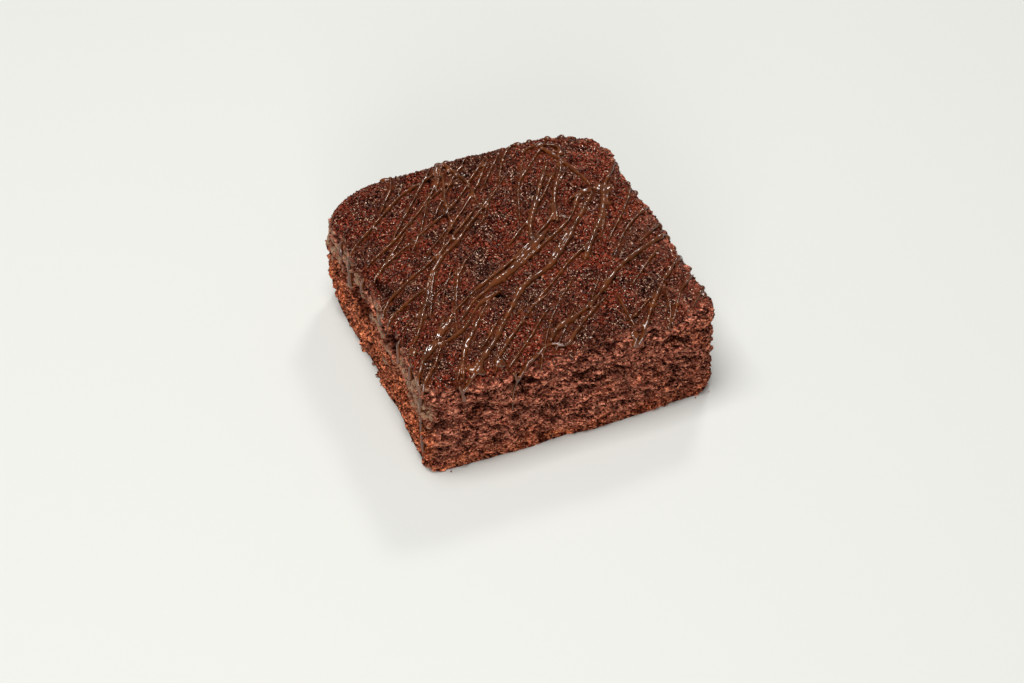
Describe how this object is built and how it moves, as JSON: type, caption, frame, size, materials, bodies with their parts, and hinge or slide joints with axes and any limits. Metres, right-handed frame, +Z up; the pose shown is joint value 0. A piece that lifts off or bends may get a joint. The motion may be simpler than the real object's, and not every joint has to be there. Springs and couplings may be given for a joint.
{
  "type": "chocolate brownie",
  "caption": "Square piece of chocolate brownie with rounded corners, an open crumb on its cut walls and thin chocolate drizzle over its top",
  "frame": {"origin": "on the table, under the middle of the piece", "axes": "+Z is up; -Y is the front wall, the one with the softest top edge; -X is the left wall; the sharp upright corner is between them"},
  "size_m": [0.07, 0.0728, 0.0267],
  "materials": {
    "chocolate_crumb": "baked chocolate cake: fine sugary crust on top, open matte crumb on the walls",
    "chocolate_drizzle": "thin set lines of milk chocolate, satin gloss"
  },
  "bodies": {
    "root": {"brownie": "chocolate_crumb"}
  },
  "joints": []
}
